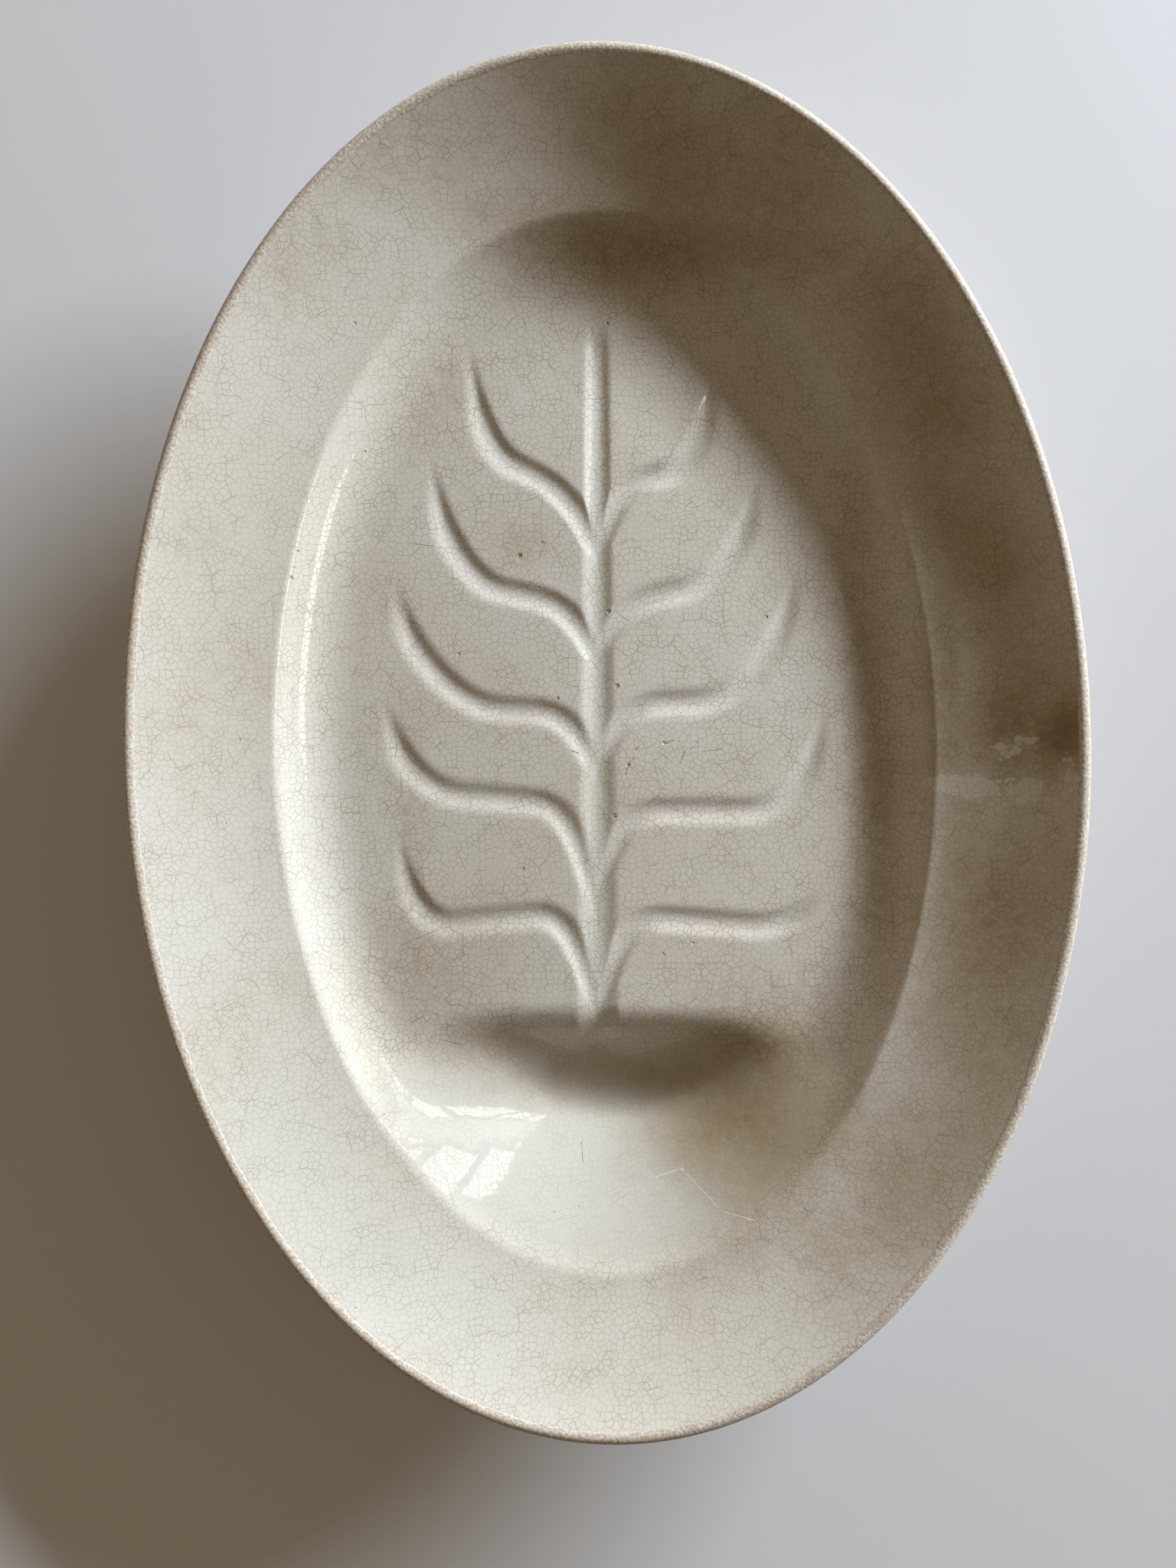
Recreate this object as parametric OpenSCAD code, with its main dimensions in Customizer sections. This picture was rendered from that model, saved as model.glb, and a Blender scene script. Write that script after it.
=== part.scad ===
// Oval poultry platter in white earthenware: a wide rim, a floor cut with a tree of gravy
// channels, a deep well at the foot of the tree, and two feet luted under the other end.
// The base of the well and the two feet stand on z = 0. The origin lies under the middle of
// the oval, +Y runs up the trunk away from the well, and +X is to the right of the trunk.

/* [Oval] */
// Length over the lip
length = 457; // [430:1:520]
// Width over the lip
width = 319; // [300:1:360]

/* [Rim] */
// Level width of the rim, from the lip to the shoulder
rim_w = 47.5; // [42:0.5:52]
// Slope of the rim where it leaves the shoulder, in degrees
rim_slope = 11; // [6:0.5:16]
// Slope of the rim at the lip, in degrees
lip_slope = 31.5; // [22:0.5:36]
// Share by which the rim rises more at the ends of the oval than at its sides
rim_lift = 0.24; // [0:0.02:0.4]
// Thickness of the rounded lip
lip_t = 5; // [4:0.1:6.5]

/* [Wall and floor] */
// Half length of the rounding over the shoulder
shoulder_soft = 3; // [1.5:0.1:4.5]
// Level run of the wall, from the shoulder to the flat of the floor
wall_run = 27; // [22:0.5:32]
// Hollowness of the wall: 1 is a straight slope, more falls faster below the shoulder
wall_curve = 2.9; // [2:0.1:3.6]
// Depth of the floor below the shoulder, at the lip of the well
floor_depth = 10.8; // [8:0.2:14]
// Fall of the floor along the tree, from the tip of the trunk to the lip of the well
floor_fall = 1.3; // [0.5:0.1:4]
// Rise of the middle of the floor above its edge, so that gravy runs out to the wall
floor_crown = 1.5; // [0:0.1:3]
// Thickness of the floor at its edge
body_t = 7.5; // [6.5:0.1:9]
// Thickness of the wall, measured level
wall_t = 7; // [6:0.1:8.5]

/* [Well] */
// Length of the well, from the shoulder at its end to its lip
well_l = 85.5; // [80:0.5:94]
// Depth of the well below the floor
well_depth = 17.5; // [13:0.5:20]
// Level run of the riser between the floor and the bottom of the well
riser_run = 26; // [20:0.5:32]
// Hollowness of the riser
riser_curve = 1.25; // [1.1:0.05:2]
// Half length of the rounding over the lip of the well
riser_soft = 5.5; // [2:0.1:8]
// How far the lip of the well bows back towards its ends, at bow_x from the trunk
step_bow = 5; // [0:0.5:8]
// Distance from the trunk at which the bow of the lip is given
bow_x = 62; // [54:1:70]
// Level run of the even slope from the shoulder down to the bottom of the well
basin_run = 58; // [50:0.5:66]
// Half length of the rounding between that slope and the bottom of the well
basin_soft = 12; // [6:0.5:16]
// How much is ground off the base of the well to give a flat to stand on
base_grind = 2.2; // [0.6:0.1:3]

/* [Tree] */
// Length of the trunk, from the lip of the well to its tip
trunk_l = 245.5; // [220:0.5:250]
// Width of the trunk at its tip
trunk_tip_w = 9; // [7:0.5:13]
// Width of the trunk at the lip of the well
trunk_foot_w = 16; // [13:0.5:19]
// Depth of the trunk and branches below the floor
channel_depth = 1.1; // [0.8:0.1:2.5]
// Width of a branch over its rounded edges
branch_w = 11; // [8:0.5:13]
// Length over which a channel rises out at its tip
channel_fade = 14; // [8:1:20]
// Distance from the trunk over which a branch turns down into it
root_run = 25; // [20:0.5:30]
// Lean of the hand-set tree and well to the right of the long axis, in degrees
tree_lean = 1.4; // [0:0.1:2]
// Shift of the tree to the left of the long axis
tree_shift = 1.6; // [0:0.1:4]

/* [Feet] */
// Length of a foot
foot_l = 52; // [40:1:60]
// Width of a foot where it meets the floor
foot_w = 15; // [12:0.5:18]
// Narrowing of a foot on each side, from the floor down to its sole
foot_draft = 1.5; // [0.5:0.1:2.5]
// Bevel round the edge of a foot's sole
sole_bevel = 1; // [0.5:0.1:1.5]
// Distance between the middles of the two feet
foot_spread = 80; // [70:1:90]
// Distance of the feet from the shoulder at the tree's end
foot_inset = 78; // [70:1:90]
// Turn of each foot from the long axis towards the oval's curve, in degrees
foot_turn = 38; // [25:1:45]

/* [Hidden] */

glaze = [0.89, 0.86, 0.80];
bisque = [0.86, 0.82, 0.74];

// Branches from the well up, each as [height of its level part above the lip of the well, slope of
// that part, distance from the trunk to its upward bend, reach from the trunk, rise of its tip, drop
// of its root]. They were set by hand, so the two sides differ a little.
left_branches = [
    [35.5, -0.1, 50, 71.5, 25.5, 36.5],
    [75.5, 0.09, 47, 76.5, 25, 36],
    [107, 0.05, 31, 73, 36.5, 20],
    [147, 0.23, 32, 60, 32, 17],
    [190.5, 0.53, 28, 46.5, 23.5, 15]
];
right_branches = [
    [34.5, -0.08, 52, 78, 12, 33.5],
    [72, 0, 52, 80.5, 30, 26],
    [109.5, 0.03, 33.5, 71, 39.5, 21],
    [147.5, 0.21, 28.5, 57.5, 27.5, 14],
    [189, 0.08, 21.5, 43, 31, 24]
];
branch_count = len(left_branches);
// Distance from the trunk at which the height of a branch's level part is given
level_x = 24.5;
// Sharpness of a branch's bend at its tip and at its root
tip_sharpness = 2.2;
root_sharpness = 2.8;
// Sharpness with which meeting channels run into each other
join_sharpness = 6;
// Sharpness with which a channel's flat bottom turns up into its sides
trough_sharpness = 3;
// Sharpness with which the lip of the well bows back at its ends
bow_sharpness = 4;

half_l = length / 2;
half_w = width / 2;
step_y = well_l + rim_w - half_l;
lip_r = lip_t / 2;
// Distance inside the lip's edge at which its rounding runs into the rim, above and below
lip_top_in = lip_r * (1 + sin(lip_slope));
lip_under_in = lip_r * (1 - sin(lip_slope));
well_z = body_t - base_grind;
floor_z = well_z + well_depth;
shoulder_z = floor_z + floor_depth;
// Distance inside the lip at which the crown of the floor starts
crown_start = rim_w + wall_run / 2;
floor_pitch = atan(floor_fall / trunk_l);
foot_x = foot_spread / 2;
foot_y = half_l - rim_w - foot_inset;
foot_facets = 32;
too_far = 2 * length;

// Blends

// A slope of 1 that starts at t = 0 with a rounding of half length soft
function ramp(t, soft) = t <= -soft ? 0 : t >= soft ? t : (t + soft) ^ 2 / (4 * soft);

function mix(a, b, t) = a + (b - a) * t;

function ease(t) =
    let (c = max(0, min(1, t)))
    c * c * (3 - 2 * c);

// Places in the oval's frame and in the frame of the tree, which starts at the lip of the well

function to_tree(p) =
    let (x = p.x + tree_shift)
    [x * cos(tree_lean) - p.y * sin(tree_lean), x * sin(tree_lean) + p.y * cos(tree_lean) - step_y];

function from_tree(q) =
    let (y = q.y + step_y)
    [q.x * cos(tree_lean) + y * sin(tree_lean) - tree_shift, y * cos(tree_lean) - q.x * sin(tree_lean)];

// The oval that lies d inside the lip, at angle a
function oval(d, a) = [(half_w - d) * cos(a), (half_l - d) * sin(a)];

// How far inside the lip a point lies, found by halving
inset_halvings = 18;
function inset(p, low = 0, high = half_w, halvings = inset_halvings) =
    let (d = (low + high) / 2)
    halvings == 0 ? d
    : (p.x / (half_w - d)) ^ 2 + (p.y / (half_l - d)) ^ 2 > 1 ? inset(p, low, d, halvings - 1)
    : inset(p, d, high, halvings - 1);

// Form of the dish

function rim_rise(out) =
    tan(rim_slope) * out + (tan(lip_slope) - tan(rim_slope)) * out ^ 2 / (2 * rim_w);

// How much the rim's rise is raised or lowered at p, which lies d inside the lip
function end_lift(p, d) = 1 + rim_lift * ((p.y / (half_l - d)) ^ 2 - 0.5);

function wall_fall(into) = 1 - (1 - min(1, into / wall_run)) ^ wall_curve;

function floor_drop(y) = floor_depth - floor_fall * (y - step_y) / trunk_l;

// Share of the way down the slope from the shoulder to the bottom of the well
function basin_fall(into) =
    1 - ramp(1 - ramp(into, shoulder_soft) / basin_run, basin_soft / basin_run);

function riser_fall(past) = 1 - (1 - min(1, past / riser_run)) ^ riser_curve;

// Share of the way down from the floor of the tree to that of the well, with the riser set out by side
function sunk(p, side = 0) =
    let (q = to_tree(p))
    let (past = side - q.y - step_bow * abs(q.x / bow_x) ^ bow_sharpness)
    riser_fall(ramp(past, riser_soft));

// Height of the dish before the tree is cut, at p, which lies d inside the lip, with its wall and
// riser set out by side
function dish_z(p, d, side = 0) =
    let (into = d - rim_w)
    let (wall = floor_drop(p.y) * wall_fall(ramp(into + side, shoulder_soft)))
    let (well = (floor_drop(p.y) + well_depth) * basin_fall(into + side))
    shoulder_z + rim_rise(ramp(-into, shoulder_soft)) * end_lift(p, d) - mix(wall, well, sunk(p, side));

function crown(d) = floor_crown * ease((d - crown_start) / (half_w - crown_start));

// Tree of channels

// Height of branch b above the lip of the well, at x from the trunk
function branch_rise(b, x) =
    b[0] + b[1] * (x - level_x)
    + b[4] * max(0, (x - b[2]) / (b[3] - b[2])) ^ tip_sharpness
    - b[5] * max(0, 1 - x / root_run) ^ root_sharpness;

// Cross-section of a channel with soft edges, at the share q of its half width
function trough(q) = abs(q) < 1 ? (1 - abs(q) ^ trough_sharpness) ^ 2 : 0;

function branch_depth(b, q) =
    let (slope = branch_rise(b, q.x + 1) - branch_rise(b, q.x))
    let (stretch = sqrt(1 + slope ^ 2))
    let (across = (q.y - branch_rise(b, q.x)) / stretch)
    trough(2 * across / branch_w) * ease((b[3] - q.x) * stretch / channel_fade);

// The trunk runs on down the riser and fades out there
function trunk_depth(q) =
    trough(2 * q.x / mix(trunk_foot_w, trunk_tip_w, q.y / trunk_l))
    * ease((trunk_l - q.y) / channel_fade)
    * ease(1 + q.y / riser_run);

// How deep in the tree p lies, from 0 on the floor to 1 at the bottom of a channel
function tree_depth(p) =
    let (t = to_tree(p))
    let (q = [abs(t.x), t.y])
    let (cuts = [
        trunk_depth(q),
        for (b = t.x < 0 ? left_branches : right_branches) branch_depth(b, q)
    ])
    (cuts * [for (c = cuts) c ^ (join_sharpness - 1)]) ^ (1 / join_sharpness);

function top_point(p, d) = [p.x, p.y, dish_z(p, d) + crown(d) - channel_depth * tree_depth(p)];

function under_point(p, d) =
    let (thickness = mix(body_t, lip_t, max(0, 1 - d / rim_w)))
    [p.x, p.y, max(0, dish_z(p, d, wall_t) - thickness)];

// Net of the skin: rows that follow the branches, carried on round the wall and rim as rings

// Row -1 is the end of the well, 0 its lip, 1 and on the branches, and the last the tree's end
last_row = branch_count + 1;
well_rows = 12;
lip_rows = [0, 0.2, 0.4, 0.6, 0.76];
branch_rows = [-0.13, -0.065, 0, 0.065, 0.13, 0.38, 0.62];
end_rows = [0.2, 0.36, 0.54, 0.72, 0.88];
rows = [
    for (k = [1 : well_rows - 1]) k / well_rows - 1,
    each lip_rows,
    for (i = [1 : branch_count], r = branch_rows) if (i < branch_count || r < end_rows[0]) i + r,
    for (r = end_rows) branch_count + r
];
row_count = len(rows);
half_columns = [
    0.022, 0.045, 0.07, 0.1, 0.14, 0.19, 0.25, 0.33, 0.42,
    0.5, 0.58, 0.65, 0.72, 0.79, 0.86, 0.93, 1
];
columns = [
    for (k = [len(half_columns) - 1 : -1 : 0]) -half_columns[k],
    0,
    each half_columns
];
half_under_columns = 6;
under_columns = [for (k = [-half_under_columns : half_under_columns]) k / half_under_columns];
// Distance from the trunk within which a row runs level
row_level_x = 6;
// Sharpness with which a row settles on the trunk and on the oval at its ends
row_settle = 6;
// Share of the wall that the rows cover, and how far past its tip a branch's row aims
wall_share = 0.65;
row_aim = 0.17;
row_aim_limit = 0.97;

floor_in = rim_w + wall_run * wall_share;
under_in = rim_w + wall_run - wall_t;
floor_l = half_l - floor_in;

function branch_tip(b) = step_y + branch_rise(b, b[3]);

// Angle on the oval at which row k ends
function row_angle_at(k) =
    k < 0 ? -90
    : k == 0 ? asin(step_y / floor_l)
    : k == last_row ? 90
    : let (tip = (branch_tip(left_branches[k - 1]) + branch_tip(right_branches[k - 1])) / 2)
      asin(min(row_aim_limit, mix(tip / floor_l, 1, row_aim)));

function row_angle(v) =
    let (k = floor(v))
    mix(row_angle_at(k), row_angle_at(k + 1), v - k);

row_angles = [for (v = rows) row_angle(v)];

// Height of row k above the lip of the well, at x from the trunk
function row_rise_at(branches, k, x) =
    k <= 0 ? 0
    : k == last_row ? floor_l - step_y
    : branch_rise(branches[k - 1], max(x, row_level_x));

function row_rise(branches, v, x) =
    let (k = floor(v))
    mix(row_rise_at(branches, k, x), row_rise_at(branches, k + 1, x), v - k);

function trunk_rise(v) = (row_rise(left_branches, v, 0) + row_rise(right_branches, v, 0)) / 2;

// Point of row v at the share u of the way from the trunk to the floor's oval, at angle a there
function tree_row_point(v, a, u) =
    let (side = u < 0 ? -1 : 1)
    let (branches = u < 0 ? left_branches : right_branches)
    let (share = abs(u))
    let (end = to_tree(oval(floor_in, u < 0 ? 180 - a : a)))
    let (reach = abs(end.x))
    let (settle_trunk = (trunk_rise(v) - row_rise(branches, v, 0)) * (1 - share) ^ row_settle)
    let (settle_end = (end.y - row_rise(branches, v, reach)) * share ^ row_settle)
    from_tree([side * share * reach, row_rise(branches, v, share * reach) + settle_trunk + settle_end]);

function well_row_point(d, a, u) =
    let (end = oval(d, a))
    [u * end.x, end.y];

ring_angles = [
    each row_angles,
    90,
    for (k = [row_count - 1 : -1 : 0]) 180 - row_angles[k],
    270
];
ring_size = len(ring_angles);

rim_rings = 6;
under_rim_rings = 5;
wall_rings = 3;
lip_steps = 5;
shoulder_stations = [-shoulder_soft, -shoulder_soft / 3, shoulder_soft / 3, shoulder_soft];
top_stations = [
    for (k = [1 : wall_rings]) mix(floor_in - rim_w, shoulder_soft, k / (wall_rings + 1)),
    for (k = [len(shoulder_stations) - 1 : -1 : 0]) shoulder_stations[k],
    for (k = [1 : rim_rings - 1]) mix(-shoulder_soft, lip_top_in - rim_w, k / rim_rings)
];
under_stations = [
    for (k = [1 : under_rim_rings - 1])
        mix(lip_under_in - rim_w, -shoulder_soft - wall_t, k / under_rim_rings),
    for (s = shoulder_stations) s - wall_t,
    for (k = [1 : wall_rings]) mix(shoulder_soft - wall_t, under_in - rim_w, k / (wall_rings + 1))
];

function top_ring(into) =
    let (d = rim_w + into)
    [for (a = ring_angles) top_point(oval(d, a), d)];

function under_ring(into) =
    let (d = rim_w + into)
    [for (a = ring_angles) under_point(oval(d, a), d)];

// Ring of the lip's rounding at angle t, which turns from above the rim to below it
function lip_ring(t) =
    let (rise = rim_rise(rim_w - lip_top_in), up = lip_r * (sin(t) - cos(lip_slope)))
    let (d = lip_r * (1 - cos(t)))
    [for (a = ring_angles) let (p = oval(d, a)) [p.x, p.y, shoulder_z + rise * end_lift(p, d) + up]];

rings = [
    for (s = top_stations) top_ring(s),
    for (k = [0 : lip_steps]) lip_ring(90 + lip_slope - 180 * k / lip_steps),
    for (s = under_stations) under_ring(s)
];

top_floor = [
    for (k = [0 : row_count - 1], u = columns)
        let (v = rows[k], a = row_angles[k])
        let (p = v < 0 ? well_row_point(floor_in, a, u) : tree_row_point(v, a, u))
        top_point(p, inset(p))
];
under_floor = [
    for (a = row_angles, u = under_columns)
        let (p = well_row_point(under_in, a, u))
        under_point(p, inset(p))
];
top_poles = [for (a = [90, -90]) top_point(oval(floor_in, a), floor_in)];
under_poles = [for (a = [90, -90]) under_point(oval(under_in, a), under_in)];

// Numbers of the points round the edge of a net with that many columns, which starts at first
function net_edge(first, count) = [
    for (k = [0 : row_count - 1]) first + k * count + count - 1,
    first + row_count * count,
    for (k = [row_count - 1 : -1 : 0]) first + k * count,
    first + row_count * count + 1
];

// Triangles of a net, wound to face up, with its two ends closed on its poles
function net_faces(first, count) =
    let (tree_end = first + row_count * count, last = tree_end - count)
    [
        for (k = [0 : row_count - 2], c = [0 : count - 2])
            let (p = first + k * count + c)
            each [[p, p + count, p + count + 1], [p, p + count + 1, p + 1]],
        for (c = [0 : count - 2]) [last + c, tree_end, last + c + 1],
        for (c = [0 : count - 2]) [first + c + 1, tree_end + 1, first + c]
    ];

function flip(faces) = [for (f = faces) [f[2], f[1], f[0]]];

// Triangles between two rings of points, the second outside the first as seen from above
function band_faces(inner, outer) = [
    for (k = [0 : ring_size - 1])
        let (n = (k + 1) % ring_size)
        each [[inner[k], inner[n], outer[n]], [inner[k], outer[n], outer[k]]]
];

module skin() {
    top = concat(top_floor, top_poles);
    under_first = len(top) + len(rings) * ring_size;
    bands = [
        net_edge(0, len(columns)),
        for (r = [0 : len(rings) - 1]) [for (k = [0 : ring_size - 1]) len(top) + r * ring_size + k],
        net_edge(under_first, len(under_columns))
    ];
    polyhedron(
        points = concat(top, [for (r = rings) each r], under_floor, under_poles),
        faces = concat(
            net_faces(0, len(columns)),
            [for (k = [0 : len(bands) - 2]) each band_faces(bands[k], bands[k + 1])],
            flip(net_faces(under_first, len(under_columns)))
        ),
        convexity = 6
    );
}

// Pieces

module platter_body() {
    color(glaze) skin();
}

// Everything below the plane of the floor's underside
module below_floor() {
    translate([0, step_y, floor_z - body_t])
        rotate([floor_pitch, 0, 0])
            translate([-too_far / 2, -too_far / 2, -too_far])
                cube(too_far);
}

// Upright bar with round ends and drafted sides, standing on a bevelled sole
module foot_blank() {
    sole_w = foot_w - 2 * foot_draft;
    reach = (foot_l - foot_w) / 2;
    hull()
        for (end = [-1, 1]) translate([0, end * reach, 0]) {
            cylinder(h = sole_bevel, d1 = sole_w - 2 * sole_bevel, d2 = sole_w, $fn = foot_facets);
            translate([0, 0, floor_z]) cylinder(h = floor_fall, d = foot_w, $fn = foot_facets);
        }
}

module foot(side) {
    color(bisque)
        intersection() {
            translate([side * foot_x, foot_y, 0]) rotate(side * foot_turn) foot_blank();
            below_floor();
        }
}

module foot_left() {
    foot(-1);
}

module foot_right() {
    foot(1);
}

platter_body();
foot_left();
foot_right();
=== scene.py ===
"""Poultry platter with a tree of gravy channels and a well, in an old crazed cream glaze.

Shapes are worked out in millimetres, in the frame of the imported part, and turned to metres when a
mesh is made.
"""

import math

import bpy
import numpy as np
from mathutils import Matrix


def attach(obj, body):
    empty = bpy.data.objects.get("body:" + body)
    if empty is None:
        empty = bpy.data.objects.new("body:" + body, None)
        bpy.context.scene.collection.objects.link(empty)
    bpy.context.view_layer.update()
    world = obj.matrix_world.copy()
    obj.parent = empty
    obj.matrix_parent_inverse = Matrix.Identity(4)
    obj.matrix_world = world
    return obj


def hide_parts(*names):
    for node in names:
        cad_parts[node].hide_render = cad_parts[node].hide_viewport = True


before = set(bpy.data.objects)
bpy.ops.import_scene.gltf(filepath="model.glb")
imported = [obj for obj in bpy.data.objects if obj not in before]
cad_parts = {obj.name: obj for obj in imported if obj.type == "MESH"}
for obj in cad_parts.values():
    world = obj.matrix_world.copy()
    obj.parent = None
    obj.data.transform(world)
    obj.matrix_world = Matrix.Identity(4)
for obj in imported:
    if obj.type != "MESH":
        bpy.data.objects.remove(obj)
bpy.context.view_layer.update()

MM = 0.001

# Oval, rim and wall
LENGTH, WIDTH = 457.0, 319.0
HALF_L, HALF_W = LENGTH / 2, WIDTH / 2
RIM_W, RIM_SLOPE, LIP_SLOPE, RIM_LIFT, LIP_T = 47.5, 11.0, 31.5, 0.24, 5.0
LIP_R = LIP_T / 2
SHOULDER_SOFT, WALL_RUN, WALL_CURVE = 1.5, 27.0, 2.9
BODY_T, WALL_T, BASE_GRIND, GRIND_SOFT = 7.5, 7.0, 2.2, 0.4
# Floor and well
FLOOR_DEPTH, FLOOR_FALL, FLOOR_CROWN = 10.8, 1.3, 1.5
WELL_L, WELL_DEPTH = 85.5, 17.5
RISER_RUN, RISER_CURVE, RISER_SOFT = 26.0, 1.25, 5.5
FOOT_RUN, FOOT_CURVE = 38.0, 1.65
STEP_BOW, BOW_X, BOW_SHARPNESS = 5.0, 62.0, 4
BASIN_RUN, BASIN_SOFT = 58.0, 12.0
STEP_Y = WELL_L + RIM_W - HALF_L
WELL_Z = BODY_T - BASE_GRIND
CROWN_START = RIM_W + WALL_RUN / 2
FLOOR_Z = WELL_Z + WELL_DEPTH
SHOULDER_Z = FLOOR_Z + FLOOR_DEPTH
# Tree of channels
TRUNK_L, TRUNK_TIP_W, TRUNK_FOOT_W = 245.5, 9.0, 16.0
CHANNEL_DEPTH, BRANCH_W, CHANNEL_FADE = 1.05, 11.0, 15.5
ROOT_RUN, LEVEL_X = 25.0, 24.5
TIP_SHARPNESS, ROOT_SHARPNESS, JOIN_SHARPNESS, TROUGH_SHARPNESS = 2.2, 2.8, 6, 2.3
TREE_LEAN, TREE_SHIFT = math.radians(1.4), 1.6
# Each branch: height of its level part, slope there, start of its bend, reach, rise of its tip and
# drop of its root
LEFT_BRANCHES = [
    (35.5, -0.1, 50, 71.5, 25.5, 36.5),
    (75.5, 0.09, 47, 76.5, 25, 36),
    (107, 0.05, 31, 73, 36.5, 20),
    (147, 0.23, 32, 60, 32, 17),
    (190.5, 0.53, 28, 46.5, 23.5, 15),
]
RIGHT_BRANCHES = [
    (34.5, -0.08, 52, 78, 12, 33.5),
    (72, 0, 52, 80.5, 30, 26),
    (109.5, 0.03, 33.5, 71, 39.5, 21),
    (147.5, 0.21, 28.5, 57.5, 27.5, 14),
    (189, 0.08, 21.5, 43, 31, 24),
]
# Feet
FOOT_L, FOOT_W, FOOT_DRAFT = 52.0, 15.0, 1.5
FOOT_X, FOOT_Y, FOOT_TURN = 40.0, HALF_L - RIM_W - 78.0, 38.0


# Form of the dish: that of the part's source, with a crisper shoulder, rounder channels and, on the top
# face, a fuller foot of the riser


def slope_of(degrees):
    return math.tan(math.radians(degrees))


def ramp(t, soft):
    """A slope of 1 that starts at 0, rounded over soft on each side."""
    return np.where(t <= -soft, 0, np.where(t >= soft, t, (t + soft) ** 2 / (4 * soft)))


def ease(t):
    t = np.clip(t, 0, 1)
    return t * t * (3 - 2 * t)


def to_tree(x, y):
    """Place in the frame of the tree, which starts at the lip of the well."""
    x = x + TREE_SHIFT
    cos, sin = math.cos(TREE_LEAN), math.sin(TREE_LEAN)
    return x * cos - y * sin, x * sin + y * cos - STEP_Y


def rim_rise(out):
    low, high = slope_of(RIM_SLOPE), slope_of(LIP_SLOPE)
    return low * out + (high - low) * out**2 / (2 * RIM_W)


def end_lift(y, inset):
    """How much steeper the rim stands at the ends of the oval than at its sides."""
    return 1 + RIM_LIFT * ((y / (HALF_L - inset)) ** 2 - 0.5)


def wall_fall(into):
    return 1 - (1 - np.minimum(1, into / WALL_RUN)) ** WALL_CURVE


def floor_drop(y):
    return FLOOR_DEPTH - FLOOR_FALL * (y - STEP_Y) / TRUNK_L


def basin_fall(into):
    """Share of the way down the even slope that runs from the shoulder to the bottom of the well."""
    return 1 - ramp(1 - ramp(into, SHOULDER_SOFT) / BASIN_RUN, BASIN_SOFT / BASIN_RUN)


def riser_fall(past):
    return 1 - (1 - np.minimum(1, past / RISER_RUN)) ** RISER_CURVE


def glazed_fall(past):
    """The fall of the riser with glaze and slip lying in the corner at its foot."""
    return 1 - (1 - np.minimum(1, past / FOOT_RUN)) ** FOOT_CURVE


def sunk(x, y, side=0.0, fall=riser_fall):
    """Share of the way down from the tree's floor to the well's, with the riser set out by side."""
    across, along = to_tree(x, y)
    past_step = side - along - STEP_BOW * np.abs(across / BOW_X) ** BOW_SHARPNESS
    return fall(ramp(past_step, RISER_SOFT))


def dish_z(x, y, inset, side=0.0, fall=riser_fall):
    """Height of the dish before the tree is cut, with its wall and riser set out by side."""
    into = inset - RIM_W
    wall = floor_drop(y) * wall_fall(ramp(into + side, SHOULDER_SOFT))
    well = (floor_drop(y) + WELL_DEPTH) * basin_fall(into + side)
    rise = rim_rise(ramp(-into, SHOULDER_SOFT)) * end_lift(y, inset)
    return SHOULDER_Z + rise - wall - (well - wall) * sunk(x, y, side, fall)


def crown(inset):
    return FLOOR_CROWN * ease((inset - CROWN_START) / (HALF_W - CROWN_START))


def top_z(x, y, inset):
    return dish_z(x, y, inset, fall=glazed_fall) + crown(inset) - CHANNEL_DEPTH * channel_share(x, y)


def branch_rise(branch, x):
    level, slope, bend, reach, rise, drop = branch
    tip = rise * np.maximum(0, (x - bend) / (reach - bend)) ** TIP_SHARPNESS
    root = drop * np.maximum(0, 1 - x / ROOT_RUN) ** ROOT_SHARPNESS
    return level + slope * (x - LEVEL_X) + tip - root


def trough(q):
    return np.where(np.abs(q) < 1, (1 - np.abs(q) ** TROUGH_SHARPNESS) ** 2, 0)


def branch_depth(branch, x, y):
    _, _, _, reach, _, _ = branch
    slope = branch_rise(branch, x + 1) - branch_rise(branch, x)
    stretch = np.sqrt(1 + slope**2)
    across = (y - branch_rise(branch, x)) / stretch
    return trough(2 * across / BRANCH_W) * ease((reach - x) * stretch / CHANNEL_FADE)


def trunk_depth(x, y):
    width = TRUNK_FOOT_W + (TRUNK_TIP_W - TRUNK_FOOT_W) * y / TRUNK_L
    return trough(2 * x / width) * ease((TRUNK_L - y) / CHANNEL_FADE) * ease(1 + y / RISER_RUN)


def channel_share(x, y):
    """How deep in a channel a point lies, from 0 on the floor to 1 at the bottom of a channel."""
    across, along = to_tree(x, y)
    reach = np.abs(across)
    cuts = trunk_depth(reach, along) ** JOIN_SHARPNESS
    for side, branches in ((across < 0, LEFT_BRANCHES), (across >= 0, RIGHT_BRANCHES)):
        for branch in branches:
            cuts = cuts + np.where(side, branch_depth(branch, reach, along), 0) ** JOIN_SHARPNESS
    return cuts ** (1 / JOIN_SHARPNESS)


def under_z(x, y, inset):
    """Height of the underside, which is ground flat where it would dip below the table."""
    thickness = BODY_T + (LIP_T - BODY_T) * np.maximum(0, 1 - inset / RIM_W)
    return ramp(dish_z(x, y, inset, WALL_T) - thickness, GRIND_SOFT)


# Net of the skin: rings from the spine of the oval out over the rim and lip and back in below

SPOKES = 480
LIP_TOP_IN = LIP_R * (1 + math.sin(math.radians(LIP_SLOPE)))
LIP_UNDER_IN = LIP_R * (1 - math.sin(math.radians(LIP_SLOPE)))
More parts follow.
